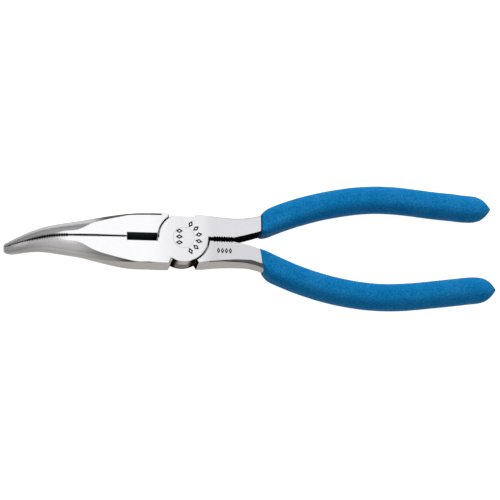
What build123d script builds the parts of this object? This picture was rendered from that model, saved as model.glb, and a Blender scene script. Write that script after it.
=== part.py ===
from build123d import *
import os
from math import cos, exp, log, radians, sin, sqrt, tan

# Bent long-nose pliers with side cutters and dipped vinyl grips, in millimetres.
# The origin is on the pivot axis, on the plane that the closed pliers rest on.
# +X runs to the handles, +Y to the upper handle, and +Z out of the front face.
# The front lever is the upper handle, the front disc of the lap joint and the lower jaw.
# The back lever is the lower handle, the back disc and the upper jaw.

# Lap joint
THICKNESS = 11.0
MID = THICKNESS / 2
LAP_GAP = 0.06
DISC_RADIUS = 10.2
RECESS_RADIUS = 10.75
DISC_FLAT = 9.0
UPPER_JAW_WALL = 122.5
UPPER_HANDLE_WALL = 63.0
LOWER_JAW_WALL = -116.3
LOWER_HANDLE_WALL = -59.5

# Rivet
RIVET_RADIUS = 3.5
RIVET_HEAD_RADIUS = 4.4
RIVET_HEAD_DEPTH = 1.2
RUNNING_GAP = 0.05

# Nose: the plan curve where the jaws meet bends down towards the tip
BEND_SLOPE = 0.31
BEND_X = -57.0
BEND_SOFTNESS = 4.8
# x, upper side, lower side, half height of the side facet, half thickness of the rounded section
NOSE_STATIONS = [
    (-11.0, 10.0, -10.95, 6.2, 10.6),
    (-18.0, 9.85, -10.95, 5.4, 9.9),
    (-25.5, 9.45, -10.65, 4.2, 8.9),
    (-31.2, 8.9, -9.95, 2.7, 8.5),
    (-37.2, 7.9, -8.75, 2.1, 7.3),
    (-41.0, 7.2, -7.95, 1.7, 6.2),
    (-49.0, 5.9, -6.9, 1.3, 5.75),
    (-58.0, 3.85, -6.0, 1.0, 4.9),
    (-66.0, 0.5, -6.85, 0.8, 3.7),
    (-71.2, -2.2, -7.5, 0.6, 2.8),
]
NOSE_START_X = 1.0
TIP = (-73.5, -5.1)
TIP_HALF_WIDTH = 1.5
TIP_HALF_THICKNESS = 1.5
TIP_CORNER_BULGE = (-0.85, 0.55)
TIP_OVERRUN = 0.4

# Jaw faces
JAW_GAPS = [(-24, 0.5), (-34, 0.55), (-42, 0.75), (-48, 0.5), (-60, 0.4), (-65, 0.18), (-74, 0.12)]
TOOTH_PITCH = 1.0
FIRST_TOOTH = -47.6
JAW_TEETH = 24
TOOTH_HEIGHTS = [(-47, 0.45), (-52, 0.65), (-57, 0.8), (-62, 0.65), (-64.5, 0.3), (-74, 0.2)]
STRAIGHT_FACE_END = -30.0

# Side cutter between the jaws
CUTTER_START = -10.8
CUTTER_END = -23.4
CUTTER_HALF_WIDTH = 1.7
CUTTER_WALL_DEPTH = 1.2
CUTTER_EDGE_HEIGHT = 1.5
CUTTER_BACK_BEVEL = 0.6
CUTTER_EDGE_GAP = 0.08
POCKET_OVERLAP = 1.0

# Handles
UPPER_NECK_OUTER = [(9, 9.65), (14, 9.2), (20, 8.85), (25, 9.05), (31.2, 10.35)]
UPPER_NECK_INNER = [(26.2, 2.05), (32, 3.85)]
LOWER_NECK_OUTER = [(9, -10.3), (14, -9.8), (21, -9.65), (26, -9.85), (32.8, -11.6)]
LOWER_NECK_INNER = [(24.9, -2.05), (31.5, -4.0)]
UPPER_CORNER_Y = 10.0
LOWER_CORNER_Y = -10.45
UPPER_INNER_Y = 0.5
LOWER_INNER_Y = -1.15
CRIMP_START = 12.3
CRIMP_TEETH = 8
CRIMP_DEPTH = 0.45
HANDLE_HALF_THICKNESS = [(14, 5.5), (32, 4.85), (36, 4.35), (42, 3.4), (125, 2.9)]
UPPER_CHAMFER_WIDTHS = [(8, 0.05), (21, 0.4), (60, 0.5)]
LOWER_CHAMFER_WIDTHS = [(8, 0.05), (12, 0.3), (16, 0.35), (20, 0.7), (26, 1.3), (33, 1.6), (60, 1.6)]
CHAMFER_SHARES = [0.035, 0.08, 0.13, 0.18, 0.23, 0.3]
TANG_HALF_WIDTHS = [(30, 3.5), (60, 3.2), (130, 2.5)]
TANG_SHARES = [0.14, 0.35, 0.6, 0.8]

# Grips: centre lines in plan, then the size of the section along the line
UPPER_GRIP_LINE = [
    (28, 4.75),
    (45.6, 12.9),
    (62, 17.5),
    (80.3, 19.85),
    (100, 18.6),
    (115, 17.15),
    (127.7, 17.2),
]
LOWER_GRIP_LINE = [
    (28, -6.0),
    (45.3, -14.3),
    (62, -19.4),
    (82, -21.8),
    (100, -20.5),
    (115, -18.4),
    (129.5, -17.4),
]
GRIP_HALF_THICKNESS = 5.47
GRIP_HALF_WIDTHS = [(30, 4.0), (36, 5.05), (44, 5.5), (60, 5.55), (130, 5.5)]
GRIP_CORNERS = [(28, 1.4), (40, 3.8), (50, 4.6), (130, 5.0)]
GRIP_STATIONS = 9
GRIP_END_LENGTH = 13.0
GRIP_END_SETBACKS = [13.0, 10.0, 7.5, 5.0, 3.0, 1.5, 0.1]
TANG_END_SETBACK = 6.0
# Plan curves of the grips' mouths
UPPER_MOUTH = [(32.0, 0.0), (32.1, 4.2), (31.8, 14.0)]
LOWER_MOUTH = [(31.2, -2.0), (32.3, -7.5), (32.3, -16.0)]

# Punched marks on the front face, as (x, y) of hollow diamonds
MARK_DEPTH = 0.2
MARK_HOLLOW_SHARE = 0.42
DISC_MARK_SIZE = (3.0, 1.9)
NECK_MARK_SIZE = (1.3, 2.3)
MARK_CIRCLE = 6.4
CIRCLE_ANGLES = [-64 + 25.5 * i for i in range(6)]
COLUMN_MARKS = [(-1.8, 0.3 + 2.45 * i) for i in (-1, 0, 1)]
NECK_MARKS = [(14.3 + 1.63 * i, -5.1) for i in range(4)]

FAR = 200.0


def along(x, stations):
    """The value at x on straight lines through (x, value) stations."""
    stations = sorted(stations)
    if x <= stations[0][0]:
        return stations[0][1]
    for (x0, v0), (x1, v1) in zip(stations, stations[1:]):
        if x <= x1:
            return v0 + (v1 - v0) * (x - x0) / (x1 - x0)
    return stations[-1][1]


def on_ray(angle, y):
    """The plan point at height y on the ray from the pivot at an angle."""
    return y / tan(radians(angle)), y


def bend_y(x):
    """The height of the bent line where the jaws meet."""
    return -BEND_SLOPE * BEND_SOFTNESS * log(1 + exp((BEND_X - x) / BEND_SOFTNESS))


def jaw_face_point(x, side, rise=0.0):
    """A point of the gripping face of the upper (side 1) or lower (side -1) jaw."""
    return x, bend_y(x) + side * along(x, JAW_GAPS) / 2 + rise


def jaw_teeth(side):
    """The saw-tooth line of one jaw, mirrored in the other jaw."""
    points = []
    for i in range(JAW_TEETH):
        x = FIRST_TOOTH - i * TOOTH_PITCH
        points.append(jaw_face_point(x, side))
        points.append(jaw_face_point(x - TOOTH_PITCH / 2, side, side * along(x, TOOTH_HEIGHTS)))
    return points


def jaw_plan(side, wall_angle):
    """The plan face of one jaw, from the pivot to the tip."""
    column = 1 if side > 0 else 2
    outer = [(station[0], station[column]) for station in NOSE_STATIONS]
    corner = on_ray(wall_angle, outer[0][1])
    straight_end = jaw_face_point(STRAIGHT_FACE_END, side)
    hub = on_ray(wall_angle, straight_end[1])
    halfway = jaw_face_point((STRAIGHT_FACE_END + FIRST_TOOTH) / 2, side)
    teeth = jaw_teeth(side)
    tip = (TIP[0], TIP[1] + side * JAW_GAPS[-1][1] / 2)
    shoulder = outer[-1]
    tip_mid = (
        (tip[0] + shoulder[0]) / 2 + TIP_CORNER_BULGE[0],
        (tip[1] + shoulder[1]) / 2 + side * TIP_CORNER_BULGE[1],
    )
    outline = (
        Line(hub, straight_end)
        + Spline(straight_end, halfway, teeth[0])
        + Polyline(*teeth, tip)
        + ThreePointArc(tip, tip_mid, shoulder)
        + Spline(*reversed(outer))
        + Line(outer[0], corner)
        + Line(corner, hub)
    )
    return make_face(outline)


def nose_section(x, upper, lower, facet, half_thickness):
    """One elliptical section across both jaws, wide enough to leave the side facet."""
    half_width = (upper - lower) / 2 / sqrt(1 - (facet / half_thickness) ** 2)
    plane = Plane(origin=(x, (upper + lower) / 2, MID), x_dir=(0, 1, 0), z_dir=(1, 0, 0))
    return plane * Ellipse(half_width, half_thickness)


def nose_envelope():
    """The tapering rounded body that both jaws are cut from."""
    inner_end = (NOSE_START_X, *NOSE_STATIONS[0][1:])
    sections = [nose_section(*station) for station in [inner_end, *NOSE_STATIONS]]
    tip_plane = Plane(origin=(TIP[0] - TIP_OVERRUN, TIP[1], MID), x_dir=(0, 1, 0), z_dir=(1, 0, 0))
    sections.append(tip_plane * Ellipse(TIP_HALF_WIDTH, TIP_HALF_THICKNESS))
    return loft(sections)


def cutter_pocket(side):
    """The V-shaped pocket beside the cutting edge of one jaw."""
    inside = -side * POCKET_OVERLAP
    edge = side * CUTTER_EDGE_GAP
    points = [
        (inside, THICKNESS + 1),
        (side * CUTTER_HALF_WIDTH, THICKNESS + 1),
        (side * CUTTER_HALF_WIDTH, THICKNESS - CUTTER_WALL_DEPTH),
        (edge, CUTTER_EDGE_HEIGHT),
        (side * CUTTER_BACK_BEVEL, 0),
        (side * CUTTER_BACK_BEVEL, -1),
        (inside, -1),
    ]
    plane = Plane(origin=(CUTTER_END, 0, 0), x_dir=(0, 1, 0), z_dir=(1, 0, 0))
    profile = plane * make_face(Polyline(*points, close=True))
    return extrude(profile, amount=CUTTER_START - CUTTER_END)


def jaw(side, wall_angle):
    """One jaw at full thickness, shaped by the rounded nose, with its cutter pocket."""
    slab = extrude(jaw_plan(side, wall_angle), amount=THICKNESS)
    return (slab & nose_envelope()) - cutter_pocket(side)


def handle_line(side):
    """The grip's centre line in plan, which the tang inside it follows."""
    return Spline(*(UPPER_GRIP_LINE if side > 0 else LOWER_GRIP_LINE))


def tang_points(line, outward):
    """Points on one side of the tang, from the grip's mouth to the tang's end."""
    end_share = 1 - TANG_END_SETBACK / line.length
    points = []
    for share in [*TANG_SHARES, end_share]:
        centre = line @ share
        normal = (line % share).rotate(Axis.Z, 90)
        offset = centre + normal * (outward * along(centre.X, TANG_HALF_WIDTHS))
        points.append((offset.X, offset.Y))
    return points


def crimp_teeth(side, inner_y):
    """The saw-tooth line of the crimping teeth on the inner face of a handle."""
    points = []
    for i in range(CRIMP_TEETH):
        x = CRIMP_START + i * TOOTH_PITCH
        points.append((x, inner_y))
        points.append((x + TOOTH_PITCH / 2, inner_y + side * CRIMP_DEPTH))
    return points


def handle_edges(side):
    """The driving values of one handle: wall angle, corner height, neck edges and inner face."""
    if side > 0:
        return UPPER_HANDLE_WALL, UPPER_CORNER_Y, UPPER_NECK_OUTER, UPPER_NECK_INNER, UPPER_INNER_Y
    return LOWER_HANDLE_WALL, LOWER_CORNER_Y, LOWER_NECK_OUTER, LOWER_NECK_INNER, LOWER_INNER_Y


def handle_outer_edge(side):
    """The outer edge of the neck and tang, from the joint's notch to the tang's end."""
    wall_angle, corner_y, outer, _, _ = handle_edges(side)
    corner = on_ray(wall_angle, corner_y)
    return Spline(corner, *outer, *tang_points(handle_line(side), side))


def handle_plan(side):
    """The plan face of one handle, from the pivot to the end of its tang."""
    wall_angle, _, _, inner, inner_y = handle_edges(side)
    outer_edge = handle_outer_edge(side)
    hub = on_ray(wall_angle, inner_y)
    teeth = crimp_teeth(side, inner_y)
    last_tooth = (CRIMP_START + CRIMP_TEETH * TOOTH_PITCH, inner_y)
    inner_edge = Spline(last_tooth, *inner, *tang_points(handle_line(side), -side))
    outline = (
        Polyline(hub, *teeth, last_tooth)
        + inner_edge
        + Line(inner_edge @ 1, outer_edge @ 1)
        + outer_edge
        + Line(outer_edge @ 0, hub)
    )
    return make_face(outline)


def handle_thickness_profile():
    """The side view of both handles, which thins from the joint to the end of the tang."""
    top = [(x, MID + half) for x, half in HANDLE_HALF_THICKNESS]
    bottom = [(x, MID - half) for x, half in reversed(HANDLE_HALF_THICKNESS)]
    start = [(-1, 0), (-1, THICKNESS)]
    end = [(FAR, MID + HANDLE_HALF_THICKNESS[-1][1]), (FAR, MID - HANDLE_HALF_THICKNESS[-1][1])]
    profile = Plane.XZ * make_face(Polyline(*start, *top, *end, *bottom, close=True))
    return extrude(profile, amount=FAR, both=True)


def edge_chamfer(side, face):
    """The cutter that chamfers a neck's outer edge on the front (1) or back (-1) face."""
    edge = handle_outer_edge(side)
    widths = UPPER_CHAMFER_WIDTHS if side > 0 else LOWER_CHAMFER_WIDTHS
    sections = []
    for share in CHAMFER_SHARES:
        point = edge @ share
        width = along(point.X, widths)
        half_thickness = along(point.X, HANDLE_HALF_THICKNESS)
        y = point.Y
        corners = [
            (y - side * width, MID + face * half_thickness),
            (y, MID + face * (half_thickness - width)),
            (y + side * width, MID + face * (half_thickness - width)),
            (y + side * width, MID + face * (half_thickness + width)),
            (y - side * width, MID + face * (half_thickness + width)),
        ]
        plane = Plane(origin=(point.X, 0, 0), x_dir=(0, 1, 0), z_dir=(1, 0, 0))
        sections.append(plane * make_face(Polyline(*corners, close=True)))
    return loft(sections, ruled=True)


def handle(side):
    """One neck and tang, thinned towards the end, with its outer edges chamfered."""
    solid = extrude(handle_plan(side), amount=THICKNESS) & handle_thickness_profile()
    return solid - edge_chamfer(side, 1) - edge_chamfer(side, -1)


def disc():
    """The round of the lap joint at full thickness, flattened at the top."""
    round_part = extrude(Circle(DISC_RADIUS), amount=THICKNESS)
    flat = Pos(0, DISC_FLAT - FAR / 2, 0) * Box(FAR, FAR, FAR)
    return round_part & flat


def recess(low, high):
    """The round pocket in a lever where the other lever's disc turns."""
    return Pos(0, 0, low) * extrude(Circle(RECESS_RADIUS), amount=high - low)


def rivet_solid(clearance=0.0):
    """The pivot rivet, flush with both faces, or the hole it needs."""
    shaft = Cylinder(RIVET_RADIUS + clearance, THICKNESS, align=(Align.CENTER, Align.CENTER, Align.MIN))
    head = Cone(
        RIVET_HEAD_RADIUS + clearance,
        RIVET_RADIUS + clearance,
        RIVET_HEAD_DEPTH,
        align=(Align.CENTER, Align.CENTER, Align.MIN),
    )
    return shaft + head + Pos(0, 0, THICKNESS) * Rot(180, 0, 0) * head


def diamond_mark(x, y, z, size, turn=0.0):
    """A hollow diamond to punch into the face at height z, turned in plan by an angle."""
    half_length, half_width = size[0] / 2, size[1] / 2
    corners = [(half_length, 0), (0, half_width), (-half_length, 0), (0, -half_width)]
    hollow = [(MARK_HOLLOW_SHARE * u, MARK_HOLLOW_SHARE * v) for u, v in corners]
    outline = make_face(Polyline(*corners, close=True)) - make_face(Polyline(*hollow, close=True))
    stamp = extrude(outline, amount=2 * MARK_DEPTH)
    return Pos(x, y, z - MARK_DEPTH) * Rot(0, 0, turn) * stamp


def circle_marks():
    """The diamonds round the disc, each pointing at the pivot."""
    marks = []
    for angle in CIRCLE_ANGLES:
        x, y = MARK_CIRCLE * cos(radians(angle)), MARK_CIRCLE * sin(radians(angle))
        marks.append(diamond_mark(x, y, THICKNESS, DISC_MARK_SIZE, angle))
    return marks


def front_lever():
    """Upper handle, front disc and lower jaw."""
    body = handle(1) + disc() + jaw(-1, LOWER_JAW_WALL)
    body -= recess(-1, MID + LAP_GAP / 2)
    body -= rivet_solid()
    for mark in circle_marks():
        body -= mark
    return body


def back_lever():
    """Lower handle, back disc and upper jaw."""
    body = handle(-1) + disc() + jaw(1, UPPER_JAW_WALL)
    body -= recess(MID - LAP_GAP / 2, THICKNESS + 1)
    body -= rivet_solid(RUNNING_GAP)
    for x, y in NECK_MARKS:
        top = MID + along(x, HANDLE_HALF_THICKNESS)
        body -= diamond_mark(x, y, top, NECK_MARK_SIZE)
    return body


def rivet():
    """The pivot rivet, with the column of diamonds on its front head."""
    body = rivet_solid()
    for x, y in COLUMN_MARKS:
        body -= diamond_mark(x, y, THICKNESS, DISC_MARK_SIZE)
    return body


def grip_section(line, share, scale=1.0):
    """One rounded section of a grip, square to its centre line."""
    centre = line @ share
    half_width = along(centre.X, GRIP_HALF_WIDTHS) * scale
    half_thickness = GRIP_HALF_THICKNESS * scale
    corner = along(centre.X, GRIP_CORNERS) * scale
    plane = Plane(
        origin=(centre.X, centre.Y, MID),
        x_dir=(line % share).rotate(Axis.Z, 90),
        z_dir=line % share,
    )
    return plane * RectangleRounded(2 * half_width, 2 * half_thickness, corner)


def grip_solid(side):
    """The outer shape of one grip, with a pointed drip at its end."""
    line = handle_line(side)
    end_share = 1 - GRIP_END_LENGTH / line.length
    shares = [end_share * i / (GRIP_STATIONS - 1) for i in range(GRIP_STATIONS)]
    body = loft([grip_section(line, share) for share in shares])
    end_sections = []
    for setback in GRIP_END_SETBACKS:
        scale = 1 - (1 - setback / GRIP_END_LENGTH) ** 4
        end_sections.append(grip_section(line, 1 - setback / line.length, scale))
    return body + loft(end_sections)


def mouth_cutter(mouth):
    """The space ahead of a grip's mouth, bounded by the mouth's plan curve."""
    start, end = mouth[0], mouth[-1]
    outline = Spline(*mouth) + Polyline(end, (-FAR, end[1]), (-FAR, start[1]), start)
    return extrude(make_face(outline), amount=THICKNESS)


def grip(side, mouth):
    """One dipped grip around its tang."""
    return grip_solid(side) - mouth_cutter(mouth) - handle(side)


def main():
    """Write one STEP file for each piece."""
    os.makedirs("parts", exist_ok=True)
    pieces = {
        "front_lever": front_lever(),
        "back_lever": back_lever(),
        "rivet": rivet(),
        "upper_grip": grip(1, UPPER_MOUTH),
        "lower_grip": grip(-1, LOWER_MOUTH),
    }
    for name, piece in pieces.items():
        export_step(piece, os.path.join("parts", name + ".step"))


main()
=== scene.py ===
import math

import bpy
import numpy as np
from mathutils import Matrix, Vector, noise
from mathutils.bvhtree import BVHTree


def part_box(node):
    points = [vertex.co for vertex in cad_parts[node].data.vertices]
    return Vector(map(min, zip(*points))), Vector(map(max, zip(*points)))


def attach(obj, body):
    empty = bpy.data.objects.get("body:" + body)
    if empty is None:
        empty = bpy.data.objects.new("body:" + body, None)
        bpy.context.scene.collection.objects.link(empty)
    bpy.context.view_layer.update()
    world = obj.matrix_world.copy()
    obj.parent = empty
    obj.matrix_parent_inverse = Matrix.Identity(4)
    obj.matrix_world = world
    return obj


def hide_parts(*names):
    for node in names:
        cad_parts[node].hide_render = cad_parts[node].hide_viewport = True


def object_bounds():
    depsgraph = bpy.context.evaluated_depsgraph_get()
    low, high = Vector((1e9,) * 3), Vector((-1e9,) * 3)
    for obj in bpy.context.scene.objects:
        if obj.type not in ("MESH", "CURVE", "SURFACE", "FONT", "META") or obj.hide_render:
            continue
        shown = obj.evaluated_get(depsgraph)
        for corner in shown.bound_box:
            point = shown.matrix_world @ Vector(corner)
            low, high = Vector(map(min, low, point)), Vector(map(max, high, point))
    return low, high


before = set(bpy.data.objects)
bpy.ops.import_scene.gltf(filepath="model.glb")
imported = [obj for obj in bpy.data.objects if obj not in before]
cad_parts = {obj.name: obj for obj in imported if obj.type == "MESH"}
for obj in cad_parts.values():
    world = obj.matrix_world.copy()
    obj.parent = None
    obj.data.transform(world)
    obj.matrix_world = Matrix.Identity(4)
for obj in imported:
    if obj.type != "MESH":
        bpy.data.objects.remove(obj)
cad_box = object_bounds()

# Looks of the bent needle nose pliers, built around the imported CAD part. Lengths are in metres, except
# that the patterns of the steel and the vinyl are placed in millimetres, as in the CAD.
# The frame is the CAD's: origin on the pivot, +X to the handles, +Y to the upper handle, +Z up.

MM = 0.001

# Camera: direction from the object and roll about the line of sight in degrees, distance, field width
CAMERA_AZIMUTH = -21.94
CAMERA_ELEVATION = 71.83
CAMERA_ROLL = 22.49
CAMERA_DISTANCE = 5.0
CLIP_END = 4 * CAMERA_DISTANCE
VIEW_WIDTH = 0.2049
VIEW_SHIFT = Vector((0.05, -2.0, 0.0)) * MM

# Studio: a bright patch overhead that fades out between two angles in degrees, a room that is a little
# lighter in front of the object and dim below, and a soft key light
OVERHEAD = Vector((0.36, 0.09, 0.93)).normalized()
OVERHEAD_RADIANCE = 1.9
OVERHEAD_INNER = 24.0
OVERHEAD_OUTER = 40.0
ROOM_BACK = 0.85
ROOM_FRONT = 0.9
ROOM_LOW = 0.5
ROOM_DEPTH = (-0.6, 0.6)
ROOM_HEIGHT = (0.05, 0.5)
BACKDROP_COLOUR = (0.95, 0.95, 0.955, 1)
KEY_PLACE = Vector((0.15, 0.9, 0.75))
KEY_SIZE = (1.3, 0.7)
KEY_WATTS = 24.0

# Floor
FLOOR_SIZE = 6.0
FLOOR_COLOUR = (0.22, 0.22, 0.22, 1)
FLOOR_ROUGHNESS = 0.9
FLOOR_GLOW = 0.92
FLOOR_DROP = 0.05 * MM

# A pair below is where a pattern starts and ends: along x, y or z, along the distance from the pivot, or
# along the tilt, which is 1 on faces square to Z and 0 on upright ones. A turn is the normal's part along
# X or Y, or how far a face agrees with its rounded normal.

# The line where the jaws meet bends down towards the tip
BEND_SLOPE = 0.31
BEND_X = -57.0
BEND_SOFTNESS = 4.8
GAP_MIDDLE_Y = -0.2

# Where the jaws give way to the handles, and the lower side of the tool to the upper side
PIVOT_X = (-1.0, 1.0)
MIDDLE_Y = (-1.0, 1.0)

# Painted shade on the faces that the levers turn to each other, where the gap between them is dark
HANDLE_START_X = 9.0
FACE_BORDER = 0.3
FACE_TURN = (-0.6, -0.3)
JAW_FACE_SHARE = 0.96

# Lap joint; painted shade darkens its recess walls, the rim in the notch and the notch's ends
THICKNESS = 11.0
LAP_HEIGHT = THICKNESS / 2
DISC_RADIUS = 10.2
RECESS_RADIUS = 10.75
WALL_INSIDE = 0.3
WALL_OUTSIDE = 0.25
WALL_TILT = (0.35, 0.65)
NOTCH_Y = (-8.9, -8.6)
NOTCH_SIDES_X = (1.4, 3.6)
NOTCH_FOOT_Z = (0.5, 1.8)
LAP_LINE_REACH = 0.3
LAP_LINE_SOFTNESS = 0.15
LOWER_DISC_BORDER = 0.1
LOWER_DISC_SHARE = 0.45
NOTCH_END_TURN = (0.55, 0.75)
NOTCH_END_X = (-6.6, 7.4)
NOTCH_END_Y = (-8.4, -8.0)

# Side cutter's pocket
POCKET_X = (-23.5, -10.7)
POCKET_HALF_WIDTH = 1.75
POCKET_WIDTH_SOFTNESS = 0.03
POCKET_FACE_MARGIN = 0.05
POCKET_FACE_SOFTNESS = 0.02

# Floors of the punched marks, on the disc and on the lower neck, which thins towards the handle
MARK_Z = (10.72, 10.93)
MARK_SOFTNESS = 0.03
DISC_MARKS_RADIUS = (8.2, 8.3)
NECK_MARKS_X = (13.4, 20.1)
NECK_MARKS_Y = (-6.5, -3.7)
NECK_TAPER_START = 14.0
NECK_TAPER = 0.036

# Bevels darkened with painted shade
BEVEL_TILT = (0.35, 0.9)
BEVEL_SOFTNESS = 0.05
JAW_BEVEL_X = (-40.0, -32.0)
LOWER_BEVEL_LAG = 11.0
NECK_BEVEL_X = (5.0, 7.0)
NECK_BEVEL_FADE_X = (14.0, 23.0)
NECK_BEVEL_SHARE = 0.65
BEVEL_DARKNESS = 0.93

# Painted shade as dark lines along the front face's edges, around the slit and around the disc. A pair of
# pairs is where a line fades in and out along x.
LINE_TURN = (0.95, 0.995)
FRONT_Z = (8.0, 8.6)
OUTER_Y = (5.0, 6.0)
RIM_Y = (9.23, 9.33)
RIM_TOP_X = -11.0
RIM_BOW = 0.0026
RIM_X = ((-27.0, -24.0), (-9.5, -8.5))
UPPER_JAW_LINE_X = ((-39.0, -35.0), (-9.0, -7.0))
LOWER_JAW_LINE_X = ((-28.0, -24.0), (-12.0, -9.0))
LOWER_JAW_LINE_SHARE = 0.55
UPPER_NECK_LINE_X = (9.0, 14.0)
UPPER_NECK_LINE_SHARE = 0.45
LOWER_NECK_LINE_X = (6.5, 9.0)
LOWER_NECK_FADE_X = (17.0, 30.0)
LOWER_NECK_LINE_SHARE = 0.5
SLIT_REACH = 0.9
SLIT_SOFTNESS = 0.2
SLIT_END_X = (-24.5, -23.5)
SLIT_NOSE_X = (-50.0, -46.0)
SLIT_SHARES = (0.35, 0.85)
RING_RADII = (9.9, 11.1)
RING_Y = (-9.5, 9.5)
RING_SHARE = 0.75

# Edge rounding that the steel's shading shows, and where edges are made bright, partly rubbed wear and
# partly painted highlight
EDGE_RADIUS = 0.18 * MM
LINE_RADIUS = 0.6 * MM
BEVEL_SAMPLES = 6
WEAR_AND_HIGHLIGHT_TURN = (0.9, 0.985)

# Steel colours, and where along x, y or the tilt each gives way to the next. Flats, bevels and sides get
# lighter or darker colours as painted light and shade.
NOSE_FLAT = (0.37, 0.365, 0.37, 1)
JAW_FLAT = (0.70, 0.70, 0.71, 1)
DISC_FLAT = (0.60, 0.60, 0.62, 1)
LOWER_NECK_FLAT = (0.475, 0.475, 0.495, 1)
UPPER_NECK_FLAT = (0.52, 0.515, 0.54, 1)
NOSE_BEVEL = (0.36, 0.355, 0.36, 1)
# The bevels differ between the upper and lower side and along x as painted light and shade
UPPER_BEVEL = (0.47, 0.46, 0.465, 1)
LOWER_BEVEL = (0.62, 0.605, 0.615, 1)
LOWER_BACK_BEVEL = (0.30, 0.29, 0.29, 1)
DARK_SIDE = (0.22, 0.20, 0.18, 1)
LIGHT_SIDE = (0.275, 0.255, 0.235, 1)
# CREASE is painted shade between the bevels and the sides
CREASE = (0.10, 0.095, 0.08, 1)
STREAK = (0.30, 0.30, 0.31, 1)
# Bright edges: rubbed wear and painted highlight
WEAR_AND_HIGHLIGHT = (0.74, 0.74, 0.75, 1)
# LINE is the painted shade of the edge lines and the darkened bevels
LINE = (0.02, 0.016, 0.013, 1)
# Blacks for the painted shade in the gaps and the joint, and for the dark floors of the punched marks
SHADE_AND_MARK_BLACKS = ((0.001, 0.001, 0.001, 1), (0.006, 0.006, 0.005, 1))
POCKET_DARKS = ((0.012, 0.022, 0.022, 1), (0.050, 0.068, 0.072, 1))
NOSE_TO_JAW_X = (-55.0, -47.0)
JAW_TO_DISC_X = (-16.0, 0.0)
DISC_TO_NECK_X = (6.0, 13.0)
LOWER_TO_UPPER_NECK_Y = (-0.6, -0.3)
LOWER_BEVEL_X = (-46.0, -32.0)
LOWER_TO_UPPER_BEVEL_Y = (-3.5, -1.5)
NOSE_BEVEL_X = (-68.0, -52.0)
CREASE_TILT = (0.35, 0.6)
CREASE_SOFTNESS = 0.08
CREASE_X = (-8.0, -12.0)
CREASE_SHARE = 0.45
SIDE_TO_BEVEL_TILT = (0.25, 0.6)
BEVEL_TO_FLAT_TILT = (0.93, 0.99)

# Steel patterns: stretch along each axis, then fineness, detail and roughness of the noise, then the
# part of the noise's range that shows, and how strongly
GRAIN_STRETCH = (1.2, 22.0, 22.0)
GRAIN_NOISE = (1.0, 4.0, 0.6)
GRAIN_RANGE = (0.2, 0.8)
STREAK_STRETCH = (0.25, 6.0, 6.0)
STREAK_NOISE = (1.0, 3.0, 0.6)
STREAK_RANGE = (0.3, 0.8)
STREAK_SHARE = 0.12
BLOTCH_NOISE = (0.35, 3.0, 0.55)
SPECK_NOISE = (5.0, 2.0, 0.7)
SPECK_RANGE = (0.3, 0.55)
WEAR_AND_HIGHLIGHT_SHARES = (0.4, 1.0)
STEEL_ROUGHNESS = (0.22, 0.34)
BLACK_ROUGHNESS = 0.35
BLOTCH_HEIGHT = 0.5
GRAIN_DEPTH = 0.02 * MM
GRAIN_STRENGTH = 0.35

# Vinyl: colours, patterns given as for the steel, and where painted shade darkens the upper grip's mouth
BLUES = ((0.005, 0.105, 0.252, 1), (0.008, 0.121, 0.280, 1))
DEEP_BLUE = (0.0, 0.070, 0.186, 1)
SCUFF_BLUE = (0.06, 0.24, 0.46, 1)
MOUTH_SHADE = (0.0, 0.012, 0.030, 1)
CLOUD_NOISE = (0.12, 3.0, 0.5)
MOTTLE_NOISE = (1.5, 3.0, 0.7)
PEEL_NOISE = (1.5, 2.0, 0.5)
PORE_NOISE = (5.0, 1.0, 0.5)
MOTTLE_RANGE = (0.3, 0.7)
SCUFF_PORE_RANGE = (0.55, 0.72)
SCUFF_CLOUD_RANGE = (0.40, 0.65)
SCUFF_SHARE = 0.35
MOUTH_SHADE_X = (32.1, 33.0)
MOUTH_SHADE_Y = (0.0, 2.0)
MOUTH_SHADE_SHARE = 0.9
GLOSS_RANGE = (0.2, 0.8)
VINYL_ROUGHNESS = (0.40, 0.56)
VINYL_SPECULAR = 0.01
VINYL_SPECULAR_TINT = (0.35, 0.8, 1.0, 1)
PORE_HEIGHT = 0.3
PEEL_DEPTH = 0.25 * MM
PEEL_STRENGTH = 0.7

# Grip skin
RINGS = 170
RING_POINTS = 72
RING_CROWDING = 1.5
LINE_POINTS = 120
LINE_SMOOTHING = 30
SLOPE_POINTS = 4
MOUTH_CLEARANCE = 4.5 * MM
LINE_LEAD = 3 * MOUTH_CLEARANCE
MOUTH_SEARCH_STEPS = 20
MOUTH_DEPTH = 3.0 * MM
MOUTH_SHARE = 0.6
RIM_THICKNESS = 0.35 * MM
SHOULDER = 4.5 * MM
SHOULDER_STEPS = 10
SKIN_REACH = 14.0 * MM
SKIN_SQUARENESS = 0.75
DIRECTION_STEP = 2 * MM
TIP_MARGIN = 0.15 * MM
WAVINESS = 0.10 * MM
WAVE_SCALE = 140.0
WAVE_ROUGHNESS = 0.8
WAVE_FINENESS = 2.0
WAVE_OCTAVES = 2
WAVE_START = 8

# The colour sockets of a mix node
MIX_FIRST = 6
MIX_SECOND = 7
MIX_RESULT = 2


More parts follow.
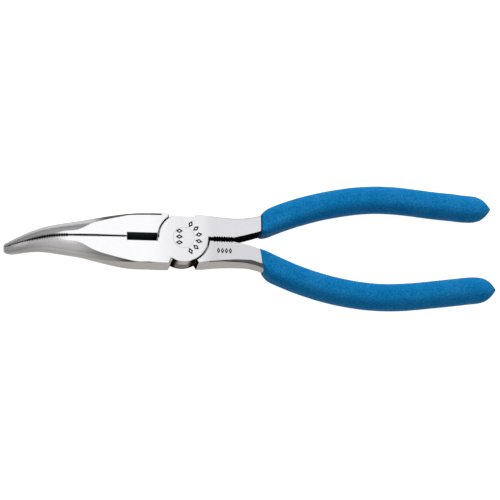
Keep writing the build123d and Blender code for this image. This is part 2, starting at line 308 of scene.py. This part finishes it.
class Graph:
    """The nodes of one shader tree, with short ways to add and join them."""

    def __init__(self, tree):
        self.nodes = tree.nodes
        self.links = tree.links
        self.nodes.clear()

    def add(self, kind, **settings):
        """A new node with its settings."""
        made = self.nodes.new(kind)
        for name, value in settings.items():
            setattr(made, name, value)
        return made

    def feed(self, socket, value):
        """Joins a socket to another node's output, or sets it to a constant."""
        if isinstance(value, bpy.types.NodeSocket):
            self.links.new(value, socket)
        else:
            socket.default_value = value

    def math(self, operation, *values):
        """The result of a math node."""
        made = self.add("ShaderNodeMath", operation=operation)
        for socket, value in zip(made.inputs, values):
            self.feed(socket, value)
        return made.outputs[0]

    def dot(self, first, second):
        """How far two directions agree."""
        made = self.add("ShaderNodeVectorMath", operation="DOT_PRODUCT")
        self.feed(made.inputs[0], first)
        self.feed(made.inputs[1], second)
        return made.outputs["Value"]

    def step(self, value, start, end, low=0.0, high=1.0):
        """A smooth step from low to high while the value goes from start to end."""
        made = self.add("ShaderNodeMapRange", interpolation_type="SMOOTHSTEP")
        names = ("Value", "From Min", "From Max", "To Min", "To Max")
        for name, given in zip(names, (value, start, end, low, high)):
            self.feed(made.inputs[name], given)
        return made.outputs[0]

    def span(self, value, rise, fall):
        """1 between a smooth rise and a smooth fall, and 0 outside."""
        return self.math("MULTIPLY", self.step(value, *rise), self.step(value, *fall, 1.0, 0.0))

    def between(self, value, low, high, soft=0.1):
        """1 where the value is between low and high, and 0 outside."""
        return self.span(value, (low - soft, low + soft), (high - soft, high + soft))

    def product(self, *values):
        """All the values multiplied."""
        result = values[0]
        for value in values[1:]:
            result = self.math("MULTIPLY", result, value)
        return result

    def largest(self, *values):
        """The largest of the values."""
        result = values[0]
        for value in values[1:]:
            result = self.math("MAXIMUM", result, value)
        return result

    def split(self, vector):
        """The x, y and z of a vector."""
        made = self.add("ShaderNodeSeparateXYZ")
        self.feed(made.inputs[0], vector)
        return made.outputs["X"], made.outputs["Y"], made.outputs["Z"]


class MaterialGraph(Graph):
    """The nodes of one material, with the place in millimetres and the normal, in the frame's axes."""

    def __init__(self, name):
        self.material = bpy.data.materials.new(name)
        self.material.use_nodes = True
        super().__init__(self.material.node_tree)
        coordinates = self.add("ShaderNodeTexCoord")
        self.normal = coordinates.outputs["Normal"]
        scale = self.add("ShaderNodeVectorMath", operation="SCALE")
        scale.inputs["Scale"].default_value = 1 / MM
        self.links.new(coordinates.outputs["Object"], scale.inputs[0])
        self.place = scale.outputs[0]

    def stretched(self, x, y, z):
        """The place in millimetres, scaled on each axis."""
        made = self.add("ShaderNodeVectorMath", operation="MULTIPLY")
        self.feed(made.inputs[0], self.place)
        made.inputs[1].default_value = (x, y, z)
        return made.outputs[0]

    def noise(self, vector, scale, detail, roughness):
        """Smooth noise from 0 to 1."""
        made = self.add("ShaderNodeTexNoise")
        self.feed(made.inputs["Vector"], vector)
        made.inputs["Scale"].default_value = scale
        made.inputs["Detail"].default_value = detail
        made.inputs["Roughness"].default_value = roughness
        return made.outputs[0]

    def blend(self, share, first, second):
        """A colour between two colours."""
        made = self.add("ShaderNodeMix", data_type="RGBA")
        self.feed(made.inputs["Factor"], share)
        self.feed(made.inputs[MIX_FIRST], first)
        self.feed(made.inputs[MIX_SECOND], second)
        return made.outputs[MIX_RESULT]

    def rounded(self, radius):
        """The normal with the edges rounded."""
        made = self.add("ShaderNodeBevel", samples=BEVEL_SAMPLES)
        made.inputs["Radius"].default_value = radius
        return made.outputs[0]

    def bump(self, height, distance, strength, normal=None):
        """A normal tilted by a height pattern."""
        made = self.add("ShaderNodeBump")
        made.inputs["Strength"].default_value = strength
        made.inputs["Distance"].default_value = distance
        self.feed(made.inputs["Height"], height)
        if normal is not None:
            self.feed(made.inputs["Normal"], normal)
        return made.outputs[0]

    def surface(self, **inputs):
        """Finishes the material with a Principled shader."""
        shader = self.add("ShaderNodeBsdfPrincipled")
        for name, value in inputs.items():
            self.feed(shader.inputs[name.replace("_", " ")], value)
        output = self.add("ShaderNodeOutputMaterial")
        self.links.new(shader.outputs[0], output.inputs["Surface"])
        return self.material


def pivot_distance(graph, x, y):
    """The distance from the pivot's axis."""
    squares = graph.math("ADD", graph.math("MULTIPLY", x, x), graph.math("MULTIPLY", y, y))
    return graph.math("SQRT", squares)


def height_over_gap(graph, x, y):
    """How far a place is above the bent line where the jaws meet, or the gap's middle at the handles."""
    beyond = graph.math("DIVIDE", graph.math("SUBTRACT", BEND_X, x), BEND_SOFTNESS)
    rise = graph.math("ADD", graph.math("EXPONENT", beyond), 1.0)
    drop = graph.product(graph.math("LOGARITHM", rise, math.e), BEND_SLOPE * BEND_SOFTNESS)
    middle = graph.step(x, *PIVOT_X, 0.0, GAP_MIDDLE_Y)
    return graph.math("ADD", graph.math("SUBTRACT", y, middle), drop)


def gap_shade_faces(graph, x, y, ny):
    """Painted shade on the faces that the levers turn to each other, handles and jaws, darkening the gap.
    """
    side = graph.math("SIGN", height_over_gap(graph, x, y))
    inward = graph.step(graph.math("MULTIPLY", side, ny), *FACE_TURN, 1.0, 0.0)
    handles = graph.step(x, HANDLE_START_X - FACE_BORDER, HANDLE_START_X)
    jaws = graph.step(x, -HANDLE_START_X - FACE_BORDER, -HANDLE_START_X, JAW_FACE_SHARE, 0.0)
    return graph.math("MULTIPLY", inward, graph.math("ADD", handles, jaws))


def joint_wall_shade(graph, x, y, z, nx, tilt):
    """Painted shade on the walls of the lap joint: the recess, the rim in the notch, the notch's ends."""
    radius = pivot_distance(graph, x, y)
    upright = graph.step(tilt, *WALL_TILT, 1.0, 0.0)
    at_wall = graph.between(radius, DISC_RADIUS - WALL_INSIDE, RECESS_RADIUS + WALL_OUTSIDE)
    walls = graph.product(upright, at_wall)
    notch = graph.step(y, *NOTCH_Y, 1.0, 0.0)
    recess = graph.product(walls, graph.math("SUBTRACT", 1.0, notch))
    sides = graph.step(graph.math("ABSOLUTE", x), *NOTCH_SIDES_X)
    lap_line = (LAP_HEIGHT - LAP_LINE_REACH, LAP_HEIGHT + LAP_LINE_REACH)
    lap = graph.between(z, *lap_line, LAP_LINE_SOFTNESS)
    foot = graph.step(z, *NOTCH_FOOT_Z, 1.0, 0.0)
    disc_top = (LAP_HEIGHT - LOWER_DISC_BORDER, LAP_HEIGHT + LOWER_DISC_BORDER)
    lower_disc = graph.step(z, *disc_top, LOWER_DISC_SHARE, 0.0)
    rim = graph.product(walls, notch, graph.largest(sides, lap, foot, lower_disc))
    ends = graph.product(
        graph.step(graph.math("ABSOLUTE", nx), *NOTCH_END_TURN),
        graph.step(y, *NOTCH_END_Y, 1.0, 0.0),
        graph.between(x, *NOTCH_END_X),
    )
    return graph.largest(recess, rim, ends)


def bevel_shade(graph, x, y, tilt):
    """Painted shade on the narrow bevels along the jaws behind the nose, and along the lower neck."""
    below = graph.step(y, *MIDDLE_Y, 1.0, 0.0)
    nose_end = graph.math("SUBTRACT", x, graph.math("MULTIPLY", below, LOWER_BEVEL_LAG))
    jaws = graph.product(graph.step(nose_end, *JAW_BEVEL_X), graph.step(x, *PIVOT_X, 1.0, 0.0))
    fade = graph.step(x, *NECK_BEVEL_FADE_X, 1.0, NECK_BEVEL_SHARE)
    neck = graph.product(graph.step(x, *NECK_BEVEL_X), fade, below)
    sloping = graph.between(tilt, *BEVEL_TILT, BEVEL_SOFTNESS)
    return graph.product(sloping, graph.math("ADD", jaws, neck), BEVEL_DARKNESS)


def upper_rim_shade(graph, x, y):
    """Painted shade along the upper jaw's bowed outer edge."""
    from_top = graph.math("SUBTRACT", x, RIM_TOP_X)
    straightened = graph.math("ADD", y, graph.product(from_top, from_top, RIM_BOW))
    return graph.product(graph.step(straightened, *RIM_Y), graph.span(x, *RIM_X))


def edge_shade_lines(graph, x, y, z, turn):
    """Painted shade as dark lines along edges of the front face: the outer edges, the slit and the disc."""
    start, end = OUTER_Y
    above = graph.step(y, start, end)
    below = graph.step(y, -end, -start, 1.0, 0.0)
    upper_jaw = graph.product(above, graph.span(x, *UPPER_JAW_LINE_X))
    lower_jaw = graph.product(below, graph.span(x, *LOWER_JAW_LINE_X), LOWER_JAW_LINE_SHARE)
    upper_neck = graph.product(above, graph.step(x, *UPPER_NECK_LINE_X), UPPER_NECK_LINE_SHARE)
    fade = graph.step(x, *LOWER_NECK_FADE_X, 1.0, LOWER_NECK_LINE_SHARE)
    lower_neck = graph.product(below, graph.step(x, *LOWER_NECK_LINE_X), fade)
    slit = graph.product(
        graph.between(height_over_gap(graph, x, y), -SLIT_REACH, SLIT_REACH, SLIT_SOFTNESS),
        graph.step(x, *SLIT_END_X, 1.0, 0.0),
        graph.step(x, *SLIT_NOSE_X, *SLIT_SHARES),
    )
    at_ring = graph.between(pivot_distance(graph, x, y), *RING_RADII)
    ring = graph.product(at_ring, graph.between(y, *RING_Y), RING_SHARE)
    lines = graph.largest(upper_jaw, lower_jaw, upper_neck, lower_neck, slit, ring)
    near_edge = graph.step(turn, *LINE_TURN, 1.0, 0.0)
    drawn = graph.largest(upper_rim_shade(graph, x, y), graph.product(lines, near_edge))
    return graph.product(drawn, graph.step(z, *FRONT_Z))


def cutter_pocket(graph, x, y, z):
    """The dark walls of the side cutter's pocket."""
    return graph.product(
        graph.between(x, *POCKET_X),
        graph.between(y, -POCKET_HALF_WIDTH, POCKET_HALF_WIDTH, POCKET_WIDTH_SOFTNESS),
        graph.between(z, POCKET_FACE_MARGIN, THICKNESS - POCKET_FACE_MARGIN, POCKET_FACE_SOFTNESS),
    )


def dents(graph, x, y, z):
    """The dark floors of the punched marks."""
    on_disc = graph.step(pivot_distance(graph, x, y), *DISC_MARKS_RADIUS, 1.0, 0.0)
    disc = graph.product(graph.between(z, *MARK_Z, MARK_SOFTNESS), on_disc)
    past_start = graph.math("SUBTRACT", x, NECK_TAPER_START)
    thinned = graph.math("MAXIMUM", graph.math("MULTIPLY", past_start, NECK_TAPER), 0.0)
    neck = graph.product(
        graph.between(graph.math("ADD", z, thinned), *MARK_Z, MARK_SOFTNESS),
        graph.between(x, *NECK_MARKS_X),
        graph.between(y, *NECK_MARKS_Y),
    )
    return graph.math("MAXIMUM", disc, neck)


def steel_colour_and_shade(graph, x, y, tilt, blotches):
    """Bright flats that dull towards the handles and the nose, gray bevels and warm ground sides, set
    lighter or darker by facing as painted light and shade, with painted shade in the crease between bevel
    and side.
    """
    jaws = graph.blend(graph.step(x, *NOSE_TO_JAW_X), NOSE_FLAT, JAW_FLAT)
    discs = graph.blend(graph.step(x, *JAW_TO_DISC_X), jaws, DISC_FLAT)
    necks = graph.blend(graph.step(y, *LOWER_TO_UPPER_NECK_Y), LOWER_NECK_FLAT, UPPER_NECK_FLAT)
    flats = graph.blend(graph.step(x, *DISC_TO_NECK_X), discs, necks)
    lower = graph.blend(graph.step(x, *LOWER_BEVEL_X), LOWER_BEVEL, LOWER_BACK_BEVEL)
    both = graph.blend(graph.step(y, *LOWER_TO_UPPER_BEVEL_Y), lower, UPPER_BEVEL)
    bevels = graph.blend(graph.step(x, *NOSE_BEVEL_X), NOSE_BEVEL, both)
    sides = graph.blend(blotches, DARK_SIDE, LIGHT_SIDE)
    slopes = graph.blend(graph.step(tilt, *SIDE_TO_BEVEL_TILT), sides, bevels)
    at_crease = graph.between(tilt, *CREASE_TILT, CREASE_SOFTNESS)
    crease = graph.product(at_crease, graph.step(x, *CREASE_X), CREASE_SHARE)
    creased = graph.blend(crease, slopes, CREASE)
    return graph.blend(graph.step(tilt, *BEVEL_TO_FLAT_TILT), creased, flats)


def steel(name):
    """Plated tool steel: polished flats, ground sides and brushed grain, set lighter or darker with painted
    light and shade, with painted shade in the gaps, the joint, edge lines and bevels, edges painted bright
    as wear and highlight, and dark pocket walls and mark floors.
    """
    graph = MaterialGraph(name)
    x, y, z = graph.split(graph.place)
    nx, ny, nz = graph.split(graph.normal)
    tilt = graph.math("ABSOLUTE", nz)
    face = graph.add("ShaderNodeNewGeometry").outputs["Normal"]
    rounded = graph.rounded(EDGE_RADIUS)
    grain = graph.noise(graph.stretched(*GRAIN_STRETCH), *GRAIN_NOISE)
    streaks = graph.noise(graph.stretched(*STREAK_STRETCH), *STREAK_NOISE)
    blotches = graph.noise(graph.place, *BLOTCH_NOISE)
    specks = graph.noise(graph.place, *SPECK_NOISE)

    clean = steel_colour_and_shade(graph, x, y, tilt, blotches)
    streaked = graph.blend(graph.step(streaks, *STREAK_RANGE, 0.0, STREAK_SHARE), clean, STREAK)
    # Edges painted bright: rubbed wear and painted highlight
    at_edge = graph.step(graph.dot(rounded, face), *WEAR_AND_HIGHLIGHT_TURN, 1.0, 0.0)
    wear_and_highlight = graph.product(at_edge, graph.step(specks, *SPECK_RANGE, *WEAR_AND_HIGHLIGHT_SHARES))
    rubbed_and_lit = graph.blend(wear_and_highlight, streaked, WEAR_AND_HIGHLIGHT)
    turn = graph.dot(graph.rounded(LINE_RADIUS), face)
    # Painted shade along edges and bevels
    lines = graph.largest(bevel_shade(graph, x, y, tilt), edge_shade_lines(graph, x, y, z, turn))
    lined = graph.blend(lines, rubbed_and_lit, LINE)
    pocket = cutter_pocket(graph, x, y, z)
    walls = joint_wall_shade(graph, x, y, z, nx, tilt)
    # Painted shade in the gaps and the joint goes dark, with the punched marks and the pocket
    black = graph.largest(gap_shade_faces(graph, x, y, ny), walls, dents(graph, x, y, z), pocket)
    blacks = graph.blend(pocket, graph.blend(blotches, *SHADE_AND_MARK_BLACKS), graph.blend(specks, *POCKET_DARKS))
    matt = graph.largest(black, graph.product(lines, graph.step(y, *OUTER_Y)))
    polish = graph.step(grain, *GRAIN_RANGE, *STEEL_ROUGHNESS)
    heights = graph.math("ADD", grain, graph.math("MULTIPLY", blotches, BLOTCH_HEIGHT))
    return graph.surface(
        Base_Color=graph.blend(black, lined, blacks),
        Metallic=graph.math("SUBTRACT", 1.0, matt),
        Specular_IOR_Level=0.0,
        Roughness=graph.math("ADD", polish, graph.math("MULTIPLY", black, BLACK_ROUGHNESS)),
        Normal=graph.bump(heights, GRAIN_DEPTH, GRAIN_STRENGTH, rounded),
    )


def grip_vinyl():
    """Blue dipped vinyl with a fine orange-peel skin, scuffed patches and painted shade at the upper grip's
    mouth.
    """
    graph = MaterialGraph("grip_vinyl")
    x, y, _ = graph.split(graph.place)
    clouds = graph.noise(graph.place, *CLOUD_NOISE)
    mottle = graph.noise(graph.place, *MOTTLE_NOISE)
    peel = graph.noise(graph.place, *PEEL_NOISE)
    pores = graph.noise(graph.place, *PORE_NOISE)

    mixed = graph.blend(graph.step(mottle, *MOTTLE_RANGE), graph.blend(clouds, *BLUES), DEEP_BLUE)
    patches = graph.step(clouds, *SCUFF_CLOUD_RANGE)
    scuffs = graph.product(graph.step(pores, *SCUFF_PORE_RANGE), patches, SCUFF_SHARE)
    scuffed = graph.blend(scuffs, mixed, SCUFF_BLUE)
    # Painted shade along the upper grip's mouth, where it meets the steel
    mouth_shade = graph.product(graph.step(x, *MOUTH_SHADE_X, MOUTH_SHADE_SHARE, 0.0), graph.step(y, *MOUTH_SHADE_Y))
    heights = graph.math("ADD", peel, graph.math("MULTIPLY", pores, PORE_HEIGHT))
    return graph.surface(
        Base_Color=graph.blend(mouth_shade, scuffed, MOUTH_SHADE),
        Roughness=graph.step(mottle, *GLOSS_RANGE, *VINYL_ROUGHNESS),
        Specular_IOR_Level=VINYL_SPECULAR,
        Specular_Tint=VINYL_SPECULAR_TINT,
        Normal=graph.bump(heights, PEEL_DEPTH, PEEL_STRENGTH),
    )


def search_tree(node):
    """A search tree of a CAD node's surface."""
    mesh = node.data
    places = [vertex.co.copy() for vertex in mesh.vertices]
    return BVHTree.FromPolygons(places, [tuple(face.vertices) for face in mesh.polygons])


class GripShape:
    """Reads one CAD grip: its centre line in plan, its mouth and its skin."""

    def __init__(self, name, lever):
        self.tree = search_tree(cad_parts[name])
        self.steel = search_tree(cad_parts[lever])
        self.low, self.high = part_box(name)
        self.middle = (self.low.z + self.high.z) / 2
        self.trace_line()

    def chord_middle(self, x):
        """The middle of the grip across Y at one x."""
        across = Vector((0, 1, 0))
        low = self.tree.ray_cast(Vector((x, self.low.y - MM, self.middle)), across)[0]
        high = self.tree.ray_cast(Vector((x, self.high.y + MM, self.middle)), -across)[0]
        return (low.y + high.y) / 2

    def trace_line(self):
        """The centre line, evened out, and carried on straight ahead of the mouth."""
        xs = np.linspace(self.low.x + MOUTH_CLEARANCE, self.high.x - TIP_MARGIN, LINE_POINTS)
        ys = np.array([self.chord_middle(x) for x in xs])
        for _ in range(LINE_SMOOTHING):
            ys[1:-1] = (ys[:-2] + 2 * ys[1:-1] + ys[2:]) / 4
        slope = (ys[SLOPE_POINTS] - ys[0]) / (xs[SLOPE_POINTS] - xs[0])
        before = xs[0] - LINE_LEAD
        self.xs = np.concatenate([[before], xs])
        self.ys = np.concatenate([[ys[0] + slope * (before - xs[0])], ys])
        steps = np.hypot(np.diff(self.xs), np.diff(self.ys))
        self.lengths = np.concatenate([[0], np.cumsum(steps)])

    def centre(self, length):
        """The point of the centre line at a length along it."""
        x = float(np.interp(length, self.lengths, self.xs))
        y = float(np.interp(length, self.lengths, self.ys))
        return Vector((x, y, self.middle))

    def outward(self, length, angle):
        """The direction square to the centre line at an angle round it."""
        ahead = self.centre(length + DIRECTION_STEP) - self.centre(length - DIRECTION_STEP)
        sideways = Vector((-ahead.y, ahead.x, 0)).normalized()
        return sideways * math.cos(angle) + Vector((0, 0, math.sin(angle)))

    def cast(self, tree, length, angle):
        """How far out a ray from outside meets a surface, and how squarely it does."""
        direction = self.outward(length, angle)
        centre = self.centre(length)
        hit, normal, _, _ = tree.ray_cast(centre + direction * SKIN_REACH, -direction, SKIN_REACH)
        if hit is None:
            return 0.0, 0.0
        return (hit - centre).length, normal.dot(direction)

    def skin(self, length, angle):
        """How far the skin is from the centre line."""
        return self.cast(self.tree, length, angle)[0]

    def rim(self, length, angle):
        """How far the thin rim at the mouth is from the centre line, just off the steel."""
        return self.cast(self.steel, length, angle)[0] + RIM_THICKNESS

    def mouth(self, angle):
        """The length along the centre line at which the skin starts at one angle."""
        low, high = 0.0, self.lengths[1]
        for _ in range(MOUTH_SEARCH_STEPS):
            middle = (low + high) / 2
            if self.cast(self.tree, middle, angle)[1] < SKIN_SQUARENESS:
                low = middle
            else:
                high = middle
        return high


def grip_rings(shape):
    """Rings of (angle, length, radius): the closed-off mouth, the swelling shoulder, the skin."""
    angles = [2 * math.pi * i / RING_POINTS for i in range(RING_POINTS)]
    mouths = [shape.mouth(angle) for angle in angles]
    rims = [shape.rim(mouth, angle) for mouth, angle in zip(mouths, angles)]
    rings = []
    for depth in (MOUTH_DEPTH, 0.0):
        row = [(angle, mouth + depth, MOUTH_SHARE * rim) for angle, mouth, rim in zip(angles, mouths, rims)]
        rings.append(row)
    for step in range(SHOULDER_STEPS):
        turn = math.pi / 2 * step / SHOULDER_STEPS
        ahead = SHOULDER * (1 - math.cos(turn))
        row = []
        for angle, mouth, rim in zip(angles, mouths, rims):
            skin = shape.skin(mouth + max(ahead, RIM_THICKNESS), angle)
            row.append((angle, mouth + ahead, rim + (skin - rim) * math.sin(turn)))
        rings.append(row)
    for step in range(RINGS):
        share = 1 - (1 - step / (RINGS - 1)) ** RING_CROWDING
        row = []
        for angle, mouth in zip(angles, mouths):
            start = mouth + SHOULDER
            length = start + (shape.lengths[-1] - start) * share
            row.append((angle, length, shape.skin(length, angle)))
        rings.append(row)
    return rings


def ring_points(shape, rings):
    """The skin's points, slightly sunk here and there by the unevenness of the dip."""
    points = []
    for number, row in enumerate(rings):
        settled = min(1.0, max(0.0, (number - SHOULDER_STEPS) / WAVE_START))
        for angle, length, radius in row:
            outward = shape.outward(length, angle)
            place = shape.centre(length) + outward * radius
            swell = noise.fractal(place * WAVE_SCALE, WAVE_ROUGHNESS, WAVE_FINENESS, WAVE_OCTAVES)
            wave = min(1.0, max(0.0, 0.5 + 0.5 * swell))
            points.append(place - outward * (WAVINESS * settled * wave))
    return points


def ring_faces(count):
    """The faces between neighbouring rings, then the fans to the inside point and to the tip."""
    faces = []
    for row in range(count - 1):
        for i in range(RING_POINTS):
            j = (i + 1) % RING_POINTS
            first, second = row * RING_POINTS, (row + 1) * RING_POINTS
            faces.append((first + i, second + i, second + j, first + j))
    last = (count - 1) * RING_POINTS
    inside = count * RING_POINTS
    tip = inside + 1
    for i in range(RING_POINTS):
        j = (i + 1) % RING_POINTS
        faces.append((inside, i, j))
        faces.append((tip, last + j, last + i))
    return faces


def scene_object(name, data):
    """A new object in the scene."""
    made = bpy.data.objects.new(name, data)
    bpy.context.scene.collection.objects.link(made)
    return made


def grip_piece(name, cad_node, lever, body, material):
    """A detailed vinyl skin in the place of one CAD grip."""
    shape = GripShape(cad_node, lever)
    rings = grip_rings(shape)
    inside = shape.centre(rings[0][0][1])
    tip = Vector((shape.high.x, shape.ys[-1], shape.middle))
    mesh = bpy.data.meshes.new(name)
    mesh.from_pydata([*ring_points(shape, rings), inside, tip], [], ring_faces(len(rings)))
    mesh.polygons.foreach_set("use_smooth", [True] * len(mesh.polygons))
    mesh.materials.append(material)
    piece = scene_object(name, mesh)
    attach(piece, body)
    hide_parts(cad_node)


def dress(node, material):
    """Gives a CAD node its material."""
    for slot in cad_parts[node].material_slots:
        slot.material = material


def floor():
    """A plain pale table top under the pliers."""
    half = FLOOR_SIZE / 2
    corners = [(x, y, -FLOOR_DROP) for x, y in ((-half, -half), (half, -half), (half, half), (-half, half))]
    mesh = bpy.data.meshes.new("floor")
    mesh.from_pydata(corners, [], [(0, 1, 2, 3)])
    material = MaterialGraph("floor").surface(
        Base_Color=FLOOR_COLOUR,
        Roughness=FLOOR_ROUGHNESS,
        Specular_IOR_Level=0.0,
        Emission_Color=(1, 1, 1, 1),
        Emission_Strength=FLOOR_GLOW,
    )
    mesh.materials.append(material)
    scene_object("floor", mesh)


def room():
    """The room's light by direction, and a plain pale backdrop behind the object."""
    world = bpy.data.worlds.new("studio")
    bpy.context.scene.world = world
    world.use_nodes = True
    graph = Graph(world.node_tree)
    direction = graph.add("ShaderNodeTexCoord").outputs["Generated"]
    _, y, z = graph.split(direction)
    overhead = graph.dot(direction, OVERHEAD)
    sides = graph.step(y, *ROOM_DEPTH, ROOM_FRONT, ROOM_BACK)
    walls = graph.step(z, *ROOM_HEIGHT, ROOM_LOW, sides)
    outer, inner = math.cos(math.radians(OVERHEAD_OUTER)), math.cos(math.radians(OVERHEAD_INNER))
    light = graph.add("ShaderNodeBackground")
    graph.feed(light.inputs["Strength"], graph.step(overhead, outer, inner, walls, OVERHEAD_RADIANCE))
    backdrop = graph.add("ShaderNodeBackground")
    backdrop.inputs["Color"].default_value = BACKDROP_COLOUR
    pick = graph.add("ShaderNodeMixShader")
    seen = graph.add("ShaderNodeLightPath").outputs["Is Camera Ray"]
    for socket, value in zip(pick.inputs, (seen, light.outputs[0], backdrop.outputs[0])):
        graph.feed(socket, value)
    output = graph.add("ShaderNodeOutputWorld")
    graph.feed(output.inputs["Surface"], pick.outputs[0])


def key_light():
    """A large soft light from behind the object, which the steel doesn't mirror."""
    light = bpy.data.lights.new("key", "AREA")
    light.shape = "RECTANGLE"
    light.size, light.size_y = KEY_SIZE
    light.energy = KEY_WATTS
    key = scene_object("key", light)
    key.location = KEY_PLACE
    key.rotation_mode = "QUATERNION"
    key.rotation_quaternion = (-KEY_PLACE).to_track_quat("-Z", "Y")
    key.visible_glossy = False
    key.visible_camera = False


def camera(low, high):
    """A long lens over the pliers, tilted and rolled as the picture needs."""
    azimuth, elevation = math.radians(CAMERA_AZIMUTH), math.radians(CAMERA_ELEVATION)
    back = Vector((
        math.sin(azimuth) * math.cos(elevation),
        -math.cos(azimuth) * math.cos(elevation),
        math.sin(elevation),
    ))
    level = Vector((0, 0, 1)).cross(back).normalized()
    right = Matrix.Rotation(math.radians(CAMERA_ROLL), 3, back) @ level
    up = back.cross(right)
    turned = Matrix((right, up, back)).transposed().to_4x4()
    target = (low + high) / 2 + VIEW_SHIFT
    data = bpy.data.cameras.new("camera")
    data.lens = data.sensor_width * CAMERA_DISTANCE / VIEW_WIDTH
    data.clip_end = CLIP_END
    made = scene_object("camera", data)
    made.matrix_world = Matrix.Translation(target + back * CAMERA_DISTANCE) @ turned
    bpy.context.scene.camera = made


bpy.context.scene.view_settings.view_transform = "Standard"
camera(*cad_box)
room()
key_light()
floor()
lever_steel = steel("lever_steel")
dress("front_lever", lever_steel)
dress("back_lever", lever_steel)
dress("rivet", steel("rivet_steel"))
vinyl = grip_vinyl()
grip_piece("upper_grip_skin", "upper_grip", "front_lever", "front_half", vinyl)
grip_piece("lower_grip_skin", "lower_grip", "back_lever", "back_half", vinyl)
